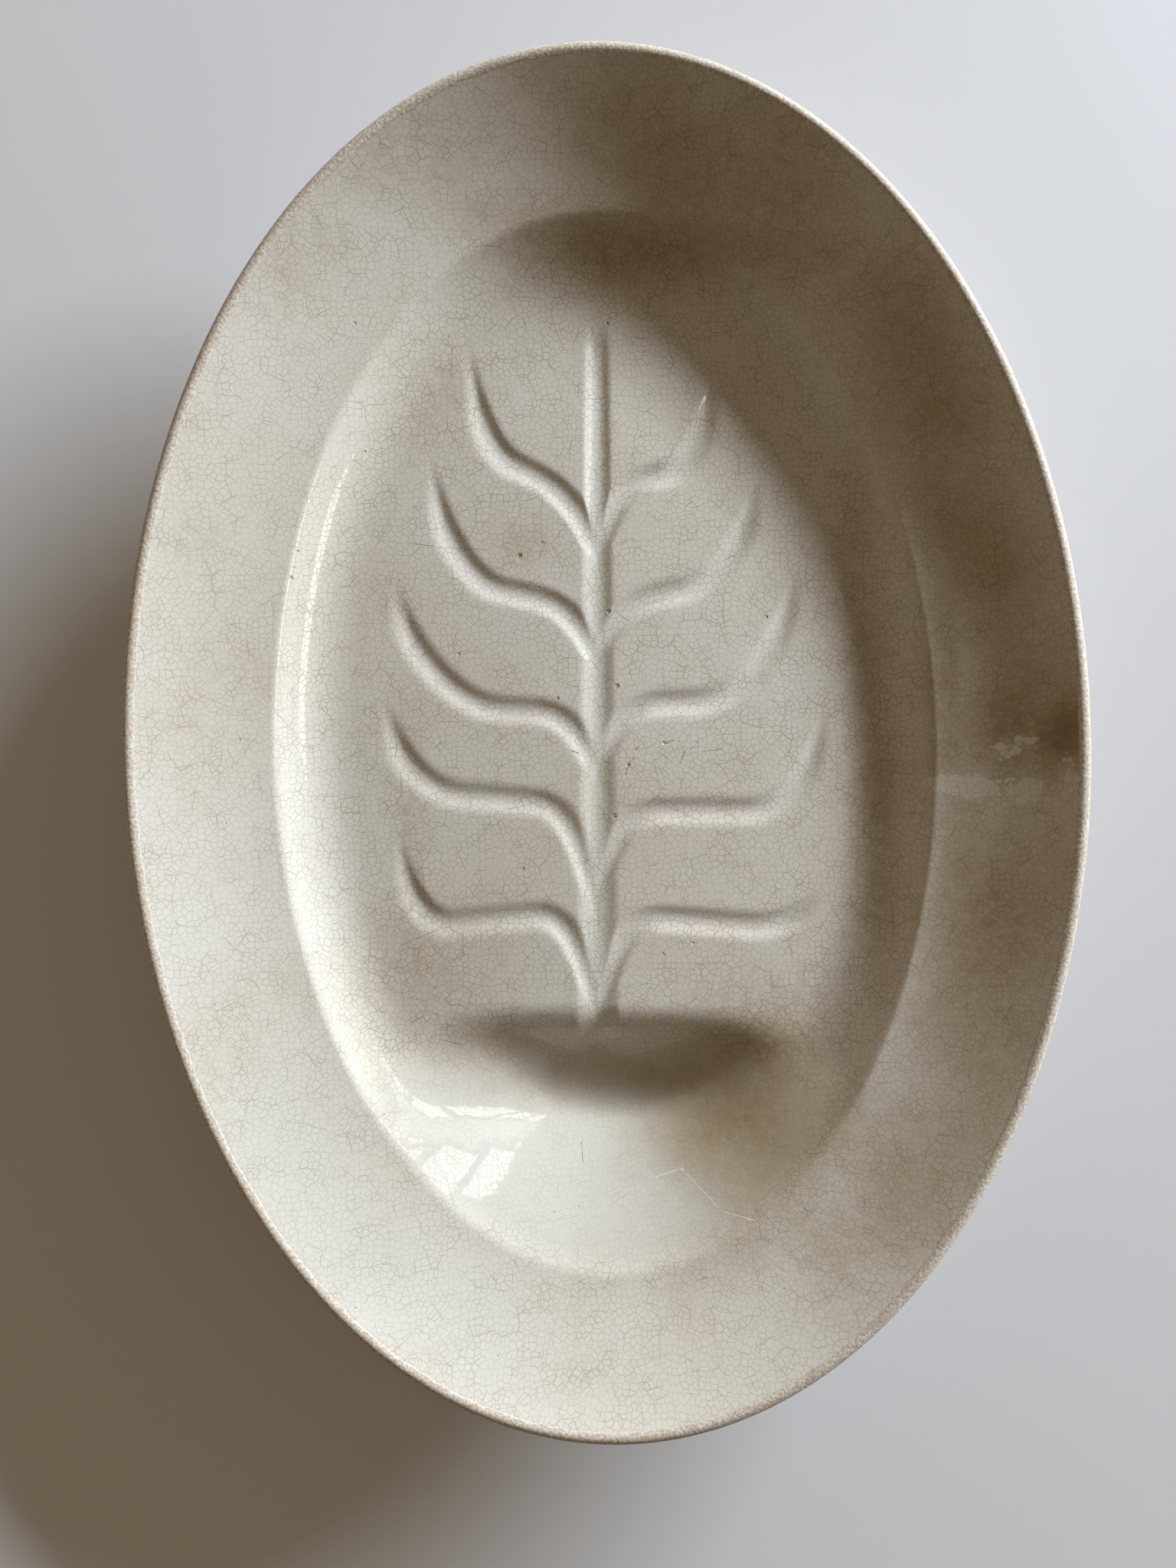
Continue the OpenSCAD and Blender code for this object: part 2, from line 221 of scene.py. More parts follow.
# Runs of rings: inset of the first, inset at which the run ends, count
TOP_RUNS = [(HALF_W, 78, 76), (78, 51, 29), (51, 43.5, 14), (43.5, LIP_TOP_IN, 24)]
UNDER_RUNS = [(LIP_UNDER_IN, 36.5, 14), (36.5, 44.5, 8), (44.5, 70, 12), (70, HALF_W, 13)]
LIP_RINGS = 14
ANGLES = np.arange(SPOKES) * 2 * math.pi / SPOKES
# The skin is kept this far inside the solid's flats
TUCK = 0.14
# Waves of the rim, as depth, number round the dish and start, and of the floor, as depth and lengths
RIM_SAGS = [(0.22, 2, 0.7), (0.13, 5, 2.1)]
FLOOR_SAG, SAG_X, SAG_Y, SAG_BEND = 0.10, 23, 29, 41
SAG_TWIST, SAG_START = 1.3, 0.6
# Height up to which nothing sags, and the share of the height above it that may be lost
SAG_FROM, SAG_SHARE = 2, 0.5


def insets(runs):
    return np.concatenate([np.linspace(a, b, n, endpoint=False) for a, b, n in runs])


def hand_wave(x, y):
    """Sag left by hand and kiln, never above the true form."""
    turn = np.arctan2(y / HALF_L, x / HALF_W)
    out = np.clip(np.hypot(x / HALF_W, y / HALF_L), 0, 1)
    rim = sum(depth * (1 + np.sin(waves * turn + start)) / 2 for depth, waves, start in RIM_SAGS)
    weave = np.sin(x / SAG_X + SAG_TWIST * np.sin(y / SAG_BEND)) * np.sin(y / SAG_Y + SAG_START)
    floor = FLOOR_SAG * (1 + weave) / 2
    return rim * out**3 + floor * (1 - out**3)


class Ring:
    """One ring of the skin: its points, its inset from the edge and the side that it is on."""

    def __init__(self, inset, z, side):
        self.x = max(0, HALF_W - inset - TUCK) * np.cos(ANGLES)
        self.y = (HALF_L - inset - min(TUCK, HALF_W - inset)) * np.sin(ANGLES)
        self.z = z(self.x, self.y)
        self.inset, self.side = inset, side


def platter_rings():
    rings = []
    for inset in insets(TOP_RUNS):
        rings.append(Ring(inset, lambda x, y: top_z(x, y, inset), "top"))
    lip_rise = rim_rise(RIM_W - LIP_TOP_IN)
    lean = math.cos(math.radians(LIP_SLOPE))
    for turn in np.radians(90 + LIP_SLOPE - np.linspace(0, 180, LIP_RINGS, endpoint=False)):
        inset, up = LIP_R * (1 - math.cos(turn)), LIP_R * (math.sin(turn) - lean)
        rings.append(Ring(inset, lambda x, y: SHOULDER_Z + lip_rise * end_lift(y, inset) + up, "lip"))
    for inset in [*insets(UNDER_RUNS), HALF_W]:
        rings.append(Ring(inset, lambda x, y: under_z(x, y, inset), "under"))
    return rings


def spine_numbers(first):
    """Numbers of the points of a ring that has closed to a line, where left and right share a point."""
    k = np.arange(SPOKES)
    return first + np.minimum(k, (SPOKES // 2 - k) % SPOKES)


def mesh_from(name, points, faces):
    mesh = bpy.data.meshes.new(name)
    mesh.from_pydata((points * MM).tolist(), [], faces)
    mesh.update()
    mesh.shade_smooth()
    return mesh


def carry(mesh, name, values):
    """Lays a value or a vector for each point on the mesh, for the materials to read."""
    values = np.asarray(values, np.float32)
    kind, field = ("FLOAT_VECTOR", "vector") if values.ndim > 1 else ("FLOAT", "value")
    mesh.attributes.new(name, kind, "POINT").data.foreach_set(field, values.ravel())


# Chips in the glaze: x, y, radius
CHIPS = np.array([
    (5.5, 146.4, 0.8), (3.2, 46, 1.1), (5.7, 19.6, 1.2), (3.7, -25.3, 1.2), (-27.5, 66.2, 1.4),
    (-19.1, 70.4, 0.8), (8.7, -7.4, 1), (-15.2, 16.2, 0.8), (-28.7, -42.9, 0.7), (-105.1, 59.4, 0.8),
    (-102.8, 68.6, 0.6), (-123.3, 4.2, 0.5), (-80.2, 104, 0.6), (-80.3, 144.9, 0.6), (21.4, -0.3, 0.9),
    (29.7, -70.1, 0.9), (19.2, -73.6, 0.7), (-49.3, 32.7, 0.6), (58.1, 42.4, 0.7), (-20.6, 55, 0.5),
])
# Knife marks and hair cracks: x, y, half length, half width, turn, paleness
MARKS = np.array([
    (-61.3, 71.2, 5.2, 0.16, -8, 0), (-46.2, 69.4, 8.8, 0.12, -5, 0), (8.3, -9.5, 2, 0.3, -113, 0),
    (27.6, -5.6, 2.7, 0.26, -110, 0), (37.8, -3.5, 4.3, 0.18, 7, 0), (-9.5, -2.7, 1.6, 0.3, -21, 0),
    (-65, -65.8, 8.6, 0.14, 21, 0), (-56, -103.3, 4.3, 0.2, -18, 0), (23.3, 0, 1.8, 0.3, 24, 0),
    (-11, -144, 4, 0.18, -86, 0), (19, -150.5, 5.3, 0.2, 17, 1), (30.5, -155, 8.8, 0.2, -43, 1),
    (42.5, -162, 5.6, 0.2, -10, 1), (-1, -8, 3.6, 0.12, 88, 0), (12, -2, 1.1, 0.3, 40, 0),
])
# Patches where tea and gravy have soaked under the glaze, and patches of painted shade on shaded walls,
# on the riser and in the shadow below it: x, y, half length, half width, turn, strength
STAINS_AND_SHADE = [
    (150, -2, 18, 15, 80, 1.1),
    (136, 4, 26, 20, 80, 0.9),
    (127, 56, 60, 20, 105, 0.66),
    (109, 118, 50, 20, 115, 0.6),
    (40, 195, 60, 24, 160, 0.5),
    (-55, 196, 30, 18, 20, 0.34),
    # Foot of the right wall, in its shade: partly stain, partly painted shade
    (91, 10, 110, 9, 92, 0.53),
    (117, 10, 66, 9, 92, 0.66),
    (119, -40, 42, 12, 85, 0.66),
    # Top wall, in shade: partly stain, partly painted shade
    (22, 170, 66, 14, 172, 0.74),
    (128, -70, 48, 24, 80, 0.78),
    (-128, 48, 34, 16, 100, 0.24),
    (-140, 5, 26, 12, 90, 0.18),
    (-98, 160, 30, 18, 50, 0.28),
    (-132, -112, 34, 18, 60, 0.22),
    (-50, 128, 30, 18, 60, 0.22),
    (-24, 70, 12, 9, 0, 0.4),
    (95, -150, 45, 24, 45, 0.56),
    # A band that darkens the floor along the foot of the left wall
    (-68, -45, 60, 7, 90, 0.3),
    (10, -205, 60, 12, 0, 0.12),
    # The next seven patches lie over the riser, its ends and the well's right side: partly stain, partly
    # painted shade
    (60, -135, 24, 40, -25, 0.75),
    (46, -130, 34, 30, 0, 0.9),
    (38, -172, 30, 16, 15, 0.36),
    (48, -107, 36, 11, 4, 0.66),
    (-46, -104, 17, 12, 10, 0.55),
    (-62, -76, 24, 20, 90, 0.42),
    (58, -112, 26, 22, -20, 0.82),
    # Painted shadow: darkens the well just below the riser, where the step's shadow falls
    (2, -119, 52, 11, 0, 0.5),
]
# Patches of the rim where the stained skin has flaked off and left a paler one: as above
FLAKES = [
    (121, -18, 14, 4.5, -8, 1.1),
    (139, -20, 9, 6, 0, 0.8),
    (136, -5, 9, 4, 20, 0.75),
    (152, -16, 4, 9, 0, 0.7),
]
# Patches of painted shade that darken the lower-left rim, where the light falls full on it: as above
PAINTED_SHADE_PATCHES = [
    (-106, -148, 85, 30, 123, 0.95),
    (-50, -192, 60, 24, 152, 0.8),
    (-84, -170, 46, 26, 137, 1.0),
]
UNDER_STAIN, FOOT_STAIN = 0.22, 0.3
# Strength of the crazing in each region, and the run over which the floor's takes over from the rim's
NET_RIM, NET_UNDER, NET_FLOOR, NET_POOL = 0.74, 0.6, 0.92, 0.4
POOL_RUN = 9.0
# Runs over which the worn lip and the ground base fade into the glaze
LIP_FADE, BASE_FADE = 1.6, 0.8
# Offset that stands for no chip or mark at all
FAR = 99.0


def patch(x, y, spot):
    """Strength of a soft oval patch at a point."""
    cx, cy, long, wide, turn, strength = spot
    cos, sin = math.cos(math.radians(turn)), math.sin(math.radians(turn))
    along = (x - cx) * cos + (y - cy) * sin
    across = (y - cy) * cos - (x - cx) * sin
    return strength * np.exp(-((along / long) ** 2) - (across / wide) ** 2)


def strongest(x, y, spots):
    return np.max([patch(x, y, spot) for spot in spots], axis=0)


def nearest_chip(x, y):
    """Offset from the nearest chip, in chip radii."""
    away = np.stack([x, y], 1)[:, None, :] - CHIPS[None, :, :2]
    best = np.argmin((away**2).sum(2), axis=1)
    return away[np.arange(len(x)), best] / CHIPS[best, 2:]


def nearest_mark(x, y):
    """Place along and across the nearest mark, in its half length and half width, and its paleness."""
    cx, cy, long, wide, turn, pale = MARKS.T
    cos, sin = np.cos(np.radians(turn)), np.sin(np.radians(turn))
    dx, dy = x[:, None] - cx, y[:, None] - cy
    along, across = dx * cos + dy * sin, dy * cos - dx * sin
    best = np.argmin(np.hypot(np.maximum(0, np.abs(along) - long), across), axis=1)
    rows = np.arange(len(x))
    return np.stack([along[rows, best] / long[best], across[rows, best] / wide[best], pale[best]], 1)


def developed(rings):
    """Place of each point on the skin laid flat along its spoke, so that patterns keep their size."""
    places = np.zeros((len(rings), SPOKES, 3))
    spoke = np.stack([np.cos(ANGLES), np.sin(ANGLES)], 1)
    spine = np.stack([np.zeros(SPOKES), (HALF_L - HALF_W) * np.sin(ANGLES)], 1)
    for order, shift in ((range(len(rings)), 0.0), (range(len(rings) - 1, -1, -1), WIDTH)):
        run, last = np.zeros(SPOKES), None
        for k in order:
            ring = rings[k]
            if (shift > 0) != (ring.side == "under"):
                break
            here = np.stack([ring.x, ring.y, ring.z], 1)
            run = run if last is None else run + np.linalg.norm(here - last, axis=1)
            last = here
            places[k, :, :2] = spine + spoke * run[:, None]
            places[k, :, 2] = shift
    return places


def make_body():
    rings = platter_rings()
    x, y, z = (np.stack([getattr(r, axis) for r in rings]) for axis in "xyz")
    z = z - np.minimum(hand_wave(x, y), np.maximum(0, z - SAG_FROM) * SAG_SHARE)
    numbers = np.arange(len(rings) * SPOKES).reshape(len(rings), SPOKES)
    for k in (0, len(rings) - 1):
        numbers[k] = spine_numbers(numbers[k, 0])
    inner, outer = numbers[:-1], numbers[1:]
    corners = np.stack([inner, outer, np.roll(outer, -1, 1), np.roll(inner, -1, 1)], 2)
    used, faces = np.unique(corners.reshape(-1, 4), return_inverse=True)
    points = np.stack([x, y, z], 2).reshape(-1, 3)[used]
    mesh = mesh_from("platter", points, faces.reshape(-1, 4).tolist())

    def share(value):
        return np.broadcast_to(value, (len(rings), SPOKES)).reshape(-1)[used]

    inset = np.array([r.inset for r in rings])[:, None]
    side = np.array([r.side for r in rings])[:, None]
    under = side == "under"
    flat_x, flat_y = share(x), share(y)
    below = share(under)
    lip = np.where(side == "lip", 1.0, np.exp(-np.maximum(0, inset - LIP_UNDER_IN) / LIP_FADE))
    carry(mesh, "skin", developed(rings).reshape(-1, 3)[used] * MM)
    carry(mesh, "lip", share(lip))
    carry(mesh, "bare", share(np.where(under, ease(1 - z / BASE_FADE), 0)))
    into = ease((inset - RIM_W) / POOL_RUN)
    # The well's glaze lies thicker, and it is darkened further as painted shade that tones down the
    # light on the well
    pool_and_shade = np.where(under, 0, ease(sunk(x, y)) * into)
    # Painted shade that darkens the lower-left rim, carried in the same map as the well's
    painted_shade = np.where(below, 0, strongest(flat_x, flat_y, PAINTED_SHADE_PATCHES))
    carry(mesh, "pool_and_shade", np.maximum(share(pool_and_shade), painted_shade))
    # Painted light: the channels are made paler to lift the shade in their troughs
    carry(mesh, "channel_light", share(np.where(under, 0, channel_share(x, y) * into)))
    net = NET_RIM + (NET_FLOOR - NET_RIM) * into + (NET_POOL - NET_FLOOR) * pool_and_shade
    carry(mesh, "net", share(np.where(under, NET_UNDER, net)))
    # The stain map also carries painted shade on the shaded walls, the riser and the shadow below it
    carry(mesh, "stain", np.where(below, UNDER_STAIN, strongest(flat_x, flat_y, STAINS_AND_SHADE)))
    carry(mesh, "flake", np.where(below, 0, strongest(flat_x, flat_y, FLAKES)))
    chip = np.where(below[:, None], FAR, nearest_chip(flat_x, flat_y))
    carry(mesh, "chip", np.pad(chip, ((0, 0), (0, 1))))
    carry(mesh, "mark", np.where(below[:, None], FAR, nearest_mark(flat_x, flat_y)))
    return mesh


# Feet: bars with round ends, drafted sides, a rounded sole and a fillet of slip where they join the body

FOOT_ROUND, CURVE_STEPS, SIDE_STEPS = 96, 7, 8
SOLE_ROUND, SLIP_FILLET = 1.8, 2.6
# How far a foot reaches into the body, and the height up to which its sole is bare
FOOT_SINK, SOLE_FADE = 0.3, 1.6


def foot_outline(half_w):
    """Stadium of the foot's straight length with ends of that half width."""
    turn = np.arange(FOOT_ROUND) * 2 * math.pi / FOOT_ROUND
    straight = (FOOT_L - FOOT_W) / 2
    return half_w * np.cos(turn), half_w * np.sin(turn) + straight * np.sign(np.sin(turn) + 1e-9)


def make_foot(side):
    turn = math.radians(side * FOOT_TURN)
    tall = under_z(np.array([side * FOOT_X]), np.array([FOOT_Y]), np.array([HALF_W]))[0]
    neck = tall - SLIP_FILLET
    quarter = np.linspace(0, math.pi / 2, CURVE_STEPS)
    levels = [(SOLE_ROUND * (1 - math.cos(t)), -SOLE_ROUND * (1 - math.sin(t))) for t in quarter]
    levels += [(z, 0.0) for z in np.linspace(SOLE_ROUND, neck, SIDE_STEPS)[1:]]
    levels += [(neck + SLIP_FILLET * math.sin(t), SLIP_FILLET * (1 - math.cos(t))) for t in quarter[1:]]
    points, heights = [], []
    sole = FOOT_W / 2 - FOOT_DRAFT
    for z, grow in levels:
        bx, by = foot_outline(sole + FOOT_DRAFT * z / tall + grow)
        px = side * FOOT_X + bx * math.cos(turn) - by * math.sin(turn)
        py = FOOT_Y + bx * math.sin(turn) + by * math.cos(turn)
        ceiling = under_z(px, py, np.full_like(px, HALF_W))
        points.append(np.stack([px, py, np.minimum(z * ceiling / tall, ceiling + FOOT_SINK)], 1))
        heights.append(np.full(FOOT_ROUND, z))
    numbers = np.arange(len(points) * FOOT_ROUND).reshape(len(points), FOOT_ROUND)
    low, high = numbers[:-1], numbers[1:]
    corners = np.stack([low, np.roll(low, -1, 1), np.roll(high, -1, 1), high], 2)
    faces = corners.reshape(-1, 4).tolist()
    faces += [numbers[0][::-1].tolist(), numbers[-1].tolist()]
    mesh = mesh_from("foot", np.concatenate(points), faces)
    carry(mesh, "bare", ease(1 - np.concatenate(heights) / SOLE_FADE))
    return mesh


# Shared finishes, as node groups


class Bench:
    """Short ways to lay out one tree of nodes."""

    def __init__(self, tree):
        self.tree = tree

    def put(self, socket, value):
        if isinstance(value, bpy.types.NodeSocket):
            self.tree.links.new(value, socket)
        elif value is not None:
            socket.default_value = value

    def add(self, kind, values=(), **settings):
        node = self.tree.nodes.new("ShaderNode" + kind)
        for key, value in settings.items():
            setattr(node, key, value)
        for key, value in dict(values).items():
            self.put(node.inputs[key], value)
        return node

    def math(self, operation, a, b=None, c=None, clamp=False):
        node = self.add("Math", operation=operation, use_clamp=clamp)
        for socket, value in zip(node.inputs, (a, b, c)):
            self.put(socket, value)
        return node.outputs[0]

    def vector(self, operation, a, b=None, scale=None):
        node = self.add("VectorMath", operation=operation)
        self.put(node.inputs[0], a)
        self.put(node.inputs[1], b)
        if scale is not None:
            self.put(node.inputs["Scale"], scale)
        return node.outputs["Value" if operation == "LENGTH" else "Vector"]

    def spread(self, value, low, high, to_low=0.0, to_high=1.0):
        """value from low to high, eased to run from to_low to to_high."""
        node = self.add("MapRange", interpolation_type="SMOOTHSTEP")
        for socket, number in zip(node.inputs, (value, low, high, to_low, to_high)):
            self.put(socket, number)
        return node.outputs[0]

    def blend(self, share, a, b):
        node = self.add("Mix", data_type="RGBA")
        for socket, value in zip((node.inputs[0], node.inputs[6], node.inputs[7]), (share, a, b)):
            self.put(socket, value)
        return node.outputs[2]

    def noise(self, place, scale, detail=2.0, rough=0.5, field="Fac"):
        values = {"Vector": place, "Scale": scale, "Detail": detail, "Roughness": rough}
        return self.add("TexNoise", values).outputs[field]

    def cells(self, place, scale, random, feature):
        node = self.add("TexVoronoi", {"Vector": place}, voronoi_dimensions="2D", feature=feature)
        self.put(node.inputs["Scale"], scale)
        self.put(node.inputs["Randomness"], random)
        return node.outputs

    def carried(self, name, field="Fac"):
        return self.add("Attribute", attribute_name=name).outputs[field]

    def group(self, tree, values):
        node = self.add("Group", node_tree=tree)
        for key, value in values.items():
            self.put(node.inputs[key], value)
        return node.outputs


def new_group(name, inputs, outputs):
    """An empty node group with these inputs and outputs: (group, bench, its inputs, its outputs)."""
    tree = bpy.data.node_groups.new(name, "ShaderNodeTree")
    for label, kind in inputs:
        tree.interface.new_socket(name=label, in_out="INPUT", socket_type="NodeSocket" + kind)
    for label, kind in outputs:
        tree.interface.new_socket(name=label, in_out="OUTPUT", socket_type="NodeSocket" + kind)
    bench = Bench(tree)
    into = tree.nodes.new("NodeGroupInput").outputs
    out = tree.nodes.new("NodeGroupOutput").inputs
    return tree, bench, into, out


MIDDLE = (0.5, 0.5, 0.5)
# Scales of the noises, per metre
BEND_SCALE, UNEVEN_SCALE, BREAK_SCALE = 260.0, 130.0, 85.0
STAIN_CLOUD, STAIN_GRAIN, CLAY_CLOUD, CLAY_GRAIN = 30.0, 420.0, 160.0, 900.0
WAVE_SCALE, PEEL_SCALE, GLOSS_SCALE, DRIFT_SCALE = 70.0, 480.0, 30.0, 9.0
CHIP_SCALE, MARK_SCALE, SPECK_SCALE, TABLE_SCALE = 1300.0, 700.0, 48.0, 1.4
# Crazing: size of its cells, width of its lines and how far they wander, in metres; how much chance is
# in the cells; scale and chance of the looser net
CELL, LINE, CRACK_WANDER = 0.0022, 0.00024, 0.0016
CELL_CHANCE, LOOSE_SCALE, LOOSE_CHANCE = 0.92, 0.31, 0.95
# Heights and depths in the bump, in metres
WAVE_HEIGHT, PEEL_HEIGHT, CLAY_HEIGHT = 0.00005, 0.000002, 0.00022
CRACK_DEPTH, CHIP_DEPTH, MARK_DEPTH = 0.000008, 0.0003, 0.00004
# Least and greatest roughness of the glaze, and what cracks, chips and bare clay add to it
PLATTER_ROUGH, FOOT_ROUGH = (0.012, 0.045), (0.06, 0.16)
CRACK_ROUGH, CHIP_ROUGH, CLAY_ROUGH = 0.10, 0.4, 0.6
GLAZE_IOR, TABLE_ROUGH = 1.5, 0.55
# How far height is leaned into the flat patterns of a foot, along x and along y
FOOT_LEAN_X, FOOT_LEAN_Y = 0.8, 0.6


def crazing_group():
    """Fine cracks of an old glaze: a net of small cells and a looser one over it, as strong as Net."""
    tree, b, into, out = new_group(
        "Crazing",
        [("Place", "Vector"), ("Cell", "Float"), ("Line", "Float"), ("Net", "Float")],
        [("Lines", "Float"), ("Tint", "Float")],
    )
    place, cell = into["Place"], into["Cell"]
    fine = b.vector("SUBTRACT", b.noise(place, BEND_SCALE, field="Color"), MIDDLE)
    bent = b.vector("ADD", place, b.vector("SCALE", fine, scale=CRACK_WANDER))
    grid = b.vector("SCALE", bent, scale=b.math("DIVIDE", 1.0, cell))
    small = b.cells(grid, 1.0, CELL_CHANCE, "DISTANCE_TO_EDGE")["Distance"]
    plot = b.cells(grid, 1.0, CELL_CHANCE, "F1")["Color"]
    large = b.cells(grid, LOOSE_SCALE, LOOSE_CHANCE, "DISTANCE_TO_EDGE")["Distance"]
    uneven = b.noise(place, UNEVEN_SCALE)
    broken = b.noise(place, BREAK_SCALE)
    width = b.math("MULTIPLY", into["Line"], b.spread(uneven, 0.25, 0.75, 0.6, 1.3))
    width = b.math("DIVIDE", width, cell)
    small_line = b.spread(b.math("DIVIDE", small, width), 0.15, 0.75, 1.0, 0.0)
    small_line = b.math("MULTIPLY", small_line, b.spread(broken, 0.36, 0.58, 0.65, 1.0))
    loose_width = b.math("MULTIPLY", width, LOOSE_SCALE)
    large_line = b.spread(b.math("DIVIDE", large, loose_width), 0.15, 0.9, 1.0, 0.0)
    large_line = b.math("MULTIPLY", large_line, b.spread(uneven, 0.4, 0.62, 0.3, 1.0))
    b.put(out["Lines"], b.math("MULTIPLY", b.math("MAXIMUM", small_line, large_line), into["Net"]))
    shade = b.math("SUBTRACT", b.add("SeparateColor", {0: plot}).outputs[0], 0.5)
    b.put(out["Tint"], b.math("MULTIPLY_ADD", shade, into["Net"], 0.5))
    return tree


def stain_group():
    """Tea and gravy soaked in under the glaze, cell by cell and darker along the cracks; on the platter
    its amount also carries painted shade.
    """
    tree, b, into, out = new_group(
        "Soaked stain",
        [("Place", "Vector"), *((name, "Float") for name in ("Amount", "Flake", "Lines", "Tint"))],
        [("Stain", "Float"), ("Deep", "Float")],
    )
    cloud = b.noise(into["Place"], STAIN_CLOUD, 4.0)
    grain = b.noise(into["Place"], STAIN_GRAIN, 3.0, 0.6)
    total = b.math("MULTIPLY_ADD", into["Amount"], 0.95, -0.24)
    for part, weight in ((cloud, 0.70), (grain, 0.16), (into["Tint"], 0.20), (into["Lines"], 0.10)):
        total = b.math("MULTIPLY_ADD", part, weight, total)
    gone = b.math("MULTIPLY_ADD", grain, 0.5, into["Flake"])
    gone = b.math("MULTIPLY_ADD", into["Tint"], 0.5, gone)
    kept = b.spread(gone, 0.98, 1.06, 1.0, 0.25)
    b.put(out["Stain"], b.math("MULTIPLY", b.spread(total, 0.18, 1.25), kept))
    b.put(out["Deep"], b.math("MULTIPLY", b.spread(total, 0.95, 1.5), kept))
    return tree


def ripple_group():
    """Slight waves that a glaze keeps as it sets, as a height, and the uneven gloss of the glaze."""
    tree, b, into, out = new_group(
        "Glaze ripple", [("Place", "Vector")], [("Height", "Float"), ("Gloss", "Float")]
    )
    wave = b.noise(into["Place"], WAVE_SCALE)
    peel = b.noise(into["Place"], PEEL_SCALE, 1.0)
    height = b.math("MULTIPLY_ADD", peel, PEEL_HEIGHT, b.math("MULTIPLY", wave, WAVE_HEIGHT))
    b.put(out["Height"], height)
    b.put(out["Gloss"], b.noise(into["Place"], GLOSS_SCALE, 4.0, 0.6))
    return tree


def clay_group():
    """Bare fired clay where the glaze is worn or wiped away: its colour and its grain as a height."""
    tree, b, into, out = new_group(
        "Bare clay",
        [("Place", "Vector")],
        [("Colour", "Color"), ("Height", "Float"), ("Patch", "Float")],
    )
    grain = b.noise(into["Place"], CLAY_GRAIN, 4.0, 0.65)
    cloud = b.noise(into["Place"], CLAY_CLOUD, 4.0, 0.6)
    colour = b.blend(b.spread(grain, 0.38, 0.62), CLAY_DARK, CLAY_PALE)
    colour = b.blend(b.spread(cloud, 0.45, 0.75, 0.0, 0.6), colour, CLAY_SOILED)
    b.put(out["Colour"], colour)
    b.put(out["Height"], b.math("MULTIPLY", grain, CLAY_HEIGHT))
    b.put(out["Patch"], cloud)
    return tree


def new_material(name):
    material = bpy.data.materials.new(name)
    material.use_nodes = True
    material.node_tree.nodes.clear()
    bench = Bench(material.node_tree)
    output = bench.add("OutputMaterial")
    shader = bench.add("BsdfPrincipled")
    bench.put(output.inputs["Surface"], shader.outputs["BSDF"])
    return material, bench, shader.inputs


CREAM, WARM_CREAM = (0.75, 0.715, 0.635, 1), (0.715, 0.66, 0.555, 1)
PALE_CELL, POOLED_GLAZE_AND_SHADE = (0.84, 0.83, 0.80, 1), (0.63, 0.61, 0.54, 1)
TEA_AND_SHADE, DEEP_TEA_AND_SHADE = (0.425, 0.325, 0.19, 1), (0.22, 0.15, 0.08, 1)
CRACK, PAINTED_CHANNEL_LIGHT = (0.30, 0.235, 0.16, 1), (0.85, 0.83, 0.765, 1)
CHIP_BROWN, CHIP_BUFF = (0.17, 0.095, 0.04, 1), (0.72, 0.57, 0.36, 1)
MARK_BROWN, MARK_PALE = (0.22, 0.15, 0.09, 1), (0.88, 0.87, 0.84, 1)
SPECK_BROWN, CLAY_SOILED = (0.09, 0.06, 0.04, 1), (0.52, 0.40, 0.27, 1)
CLAY_DARK, CLAY_PALE = (0.50, 0.42, 0.32, 1), (0.76, 0.70, 0.60, 1)
TABLE_DULL, TABLE_PALE = (0.76, 0.765, 0.785, 1), (0.82, 0.82, 0.83, 1)
# How strongly each of them covers what lies below
CELL_COVER, POOL_AND_SHADE_COVER, CHANNEL_LIGHT_COVER, TEA_AND_SHADE_COVER, DEEP_COVER = 0.14, 0.8, 0.6, 0.92, 0.85
SPECK_COVER, MARK_COVER, CHIP_COVER = 0.75, 0.8, 0.9
# Cover of a crack in clean glaze, and what a stain adds to it
CRACK_COVER, CRACK_SOAK = 0.55, 0.25
# Raggedness of a chip and place of its pit, in chip radii; wander of a mark, in its half widths
CHIP_RAGGED, PIT_AT, MARK_WANDER = 1.9, (0.3, 0.15, 0.0), 2.4


def glaze_colour(b, place, stain, craze, pool_and_shade=0.0, channel_light=0.0):
    """Cream glaze with its drift, cells, stain and cracks; darker in the well as pooled glaze and
    painted shade, paler in a channel as painted light, with painted shade mixed into the stain.
    """
    drift = b.noise(place, DRIFT_SCALE, 4.0, 0.6)
    colour = b.blend(b.spread(drift, 0.35, 0.7), CREAM, WARM_CREAM)
    colour = b.blend(b.spread(craze["Tint"], 0.0, 1.0, 0.0, CELL_COVER), colour, PALE_CELL)
    # Darker in the well as pooled glaze and painted shade, and on the lower-left rim as painted shade
    # alone
    colour = b.blend(b.math("MULTIPLY", pool_and_shade, POOL_AND_SHADE_COVER), colour, POOLED_GLAZE_AND_SHADE)
    # Paler in the channels: painted light
    colour = b.blend(b.math("MULTIPLY", channel_light, CHANNEL_LIGHT_COVER), colour, PAINTED_CHANNEL_LIGHT)
    # Stain, with painted shade mixed into it
    colour = b.blend(b.math("MULTIPLY", stain["Stain"], TEA_AND_SHADE_COVER), colour, TEA_AND_SHADE)
    colour = b.blend(b.math("MULTIPLY", stain["Deep"], DEEP_COVER), colour, DEEP_TEA_AND_SHADE)
    dark = b.math("MULTIPLY_ADD", stain["Stain"], CRACK_SOAK, CRACK_COVER)
    return b.blend(b.math("MULTIPLY", craze["Lines"], dark), colour, CRACK)


